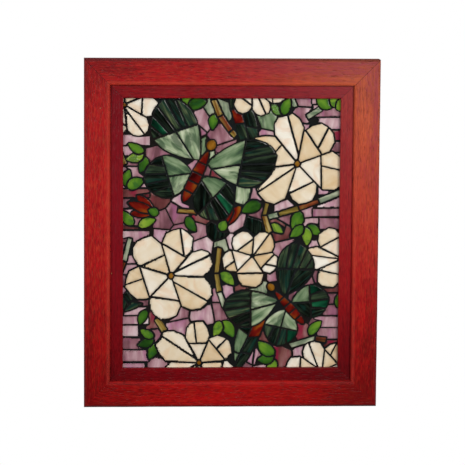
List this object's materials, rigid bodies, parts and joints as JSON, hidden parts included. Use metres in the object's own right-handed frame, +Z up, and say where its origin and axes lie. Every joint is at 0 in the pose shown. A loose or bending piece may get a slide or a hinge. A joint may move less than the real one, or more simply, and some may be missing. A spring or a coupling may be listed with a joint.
{
  "type": "mosaic panel",
  "caption": "Rectangular wall panel of cut stained glass set in dark grout, showing butterflies, blossoms and leaves, in a mitred red-stained wood frame with a stepped moulding.",
  "frame": {"origin": "on the flat back of the frame's top rail, midway along it and halfway across the back's width, where the panel meets the wall between its two hangers", "axes": "+X to the viewer's right, +Z up, -Y out of the wall towards the viewer; the wall is the plane y = 0"},
  "size_m": [0.412, 0.028, 0.489],
  "materials": {
    "stained_wood": "fine straight grain under a red stain and a satin varnish, darker in the pores and on the inner band",
    "plywood": "plain brown board, unfinished",
    "grout": "nearly black, matt and slightly sandy",
    "cream_glass": "opaque cream opalescent glass with faint peach streaks, glossy",
    "mauve_glass": "opaque mauve glass with white and pink wisps, glossy",
    "wine_glass": "opaque dusky wine-red glass with darker streaks, glossy",
    "pine_glass": "very dark green glass with black and green streaks, glossy",
    "celadon_glass": "pale grey-green glass with white and darker wisps, glossy",
    "teal_glass": "deep blue-green glass, glossy",
    "leaf_glass": "leaf-green glass, clouded from yellow-green to dark green, glossy",
    "maroon_glass": "dark red glass that turns amber in places, glossy",
    "amber_glass": "dark amber glass, glossy",
    "ochre_glass": "ochre glass with brown streaks, glossy",
    "rust_glass": "rust-brown glass, glossy",
    "smoke_glass": "pale grey glass with green smoke in it, glossy",
    "steel": "bright zinc-plated steel, satin"
  },
  "bodies": {
    "root": {"frame_rail_top": "stained_wood", "frame_rail_right": "stained_wood", "frame_rail_bottom": "stained_wood", "frame_rail_left": "stained_wood", "backing_board": "plywood", "petal_glass_01": "cream_glass", "petal_glass_02": "cream_glass", "wing_glass_01": "celadon_glass", "wing_glass_02": "celadon_glass", "wing_glass_03": "pine_glass", "wing_glass_04": "pine_glass", "ground_glass_01": "mauve_glass", "ground_glass_02": "mauve_glass", "ground_glass_03": "wine_glass", "ground_glass_04": "wine_glass", "leaf_glass_01": "leaf_glass", "leaf_glass_02": "leaf_glass", "bud_glass_01": "maroon_glass", "blade_glass_01": "maroon_glass", "wing_glass_05": "teal_glass", "wing_glass_06": "teal_glass", "ground_glass_05": "smoke_glass", "stem_glass_01": "smoke_glass", "stem_glass_02": "ochre_glass", "stem_glass_03": "ochre_glass", "stem_glass_04": "rust_glass", "stem_glass_05": "rust_glass", "body_glass_01": "amber_glass", "body_glass_02": "amber_glass", "petal_glass_03": "cream_glass", "petal_glass_04": "cream_glass", "petal_glass_05": "cream_glass", "petal_glass_06": "cream_glass", "wing_glass_07": "celadon_glass", "petal_glass_07": "cream_glass", "petal_glass_08": "cream_glass", "petal_glass_09": "cream_glass", "petal_glass_10": "cream_glass", "wing_glass_08": "celadon_glass", "petal_glass_11": "cream_glass", "petal_glass_12": "cream_glass", "petal_glass_13": "cream_glass", "petal_glass_14": "cream_glass", "petal_glass_15": "cream_glass", "petal_glass_16": "cream_glass", "petal_glass_17": "cream_glass", "petal_glass_18": "cream_glass", "petal_glass_19": "cream_glass", "wing_glass_09": "celadon_glass", "petal_glass_20": "cream_glass", "wing_glass_10": "celadon_glass", "ground_glass_06": "mauve_glass", "wing_glass_11": "pine_glass", "grout_bed": "grout", "hanger_left": "steel", "hanger_left_nail_a": "steel", "hanger_left_nail_b": "steel", "hanger_right": "steel", "hanger_right_nail_a": "steel", "hanger_right_nail_b": "steel"}
  },
  "joints": []
}
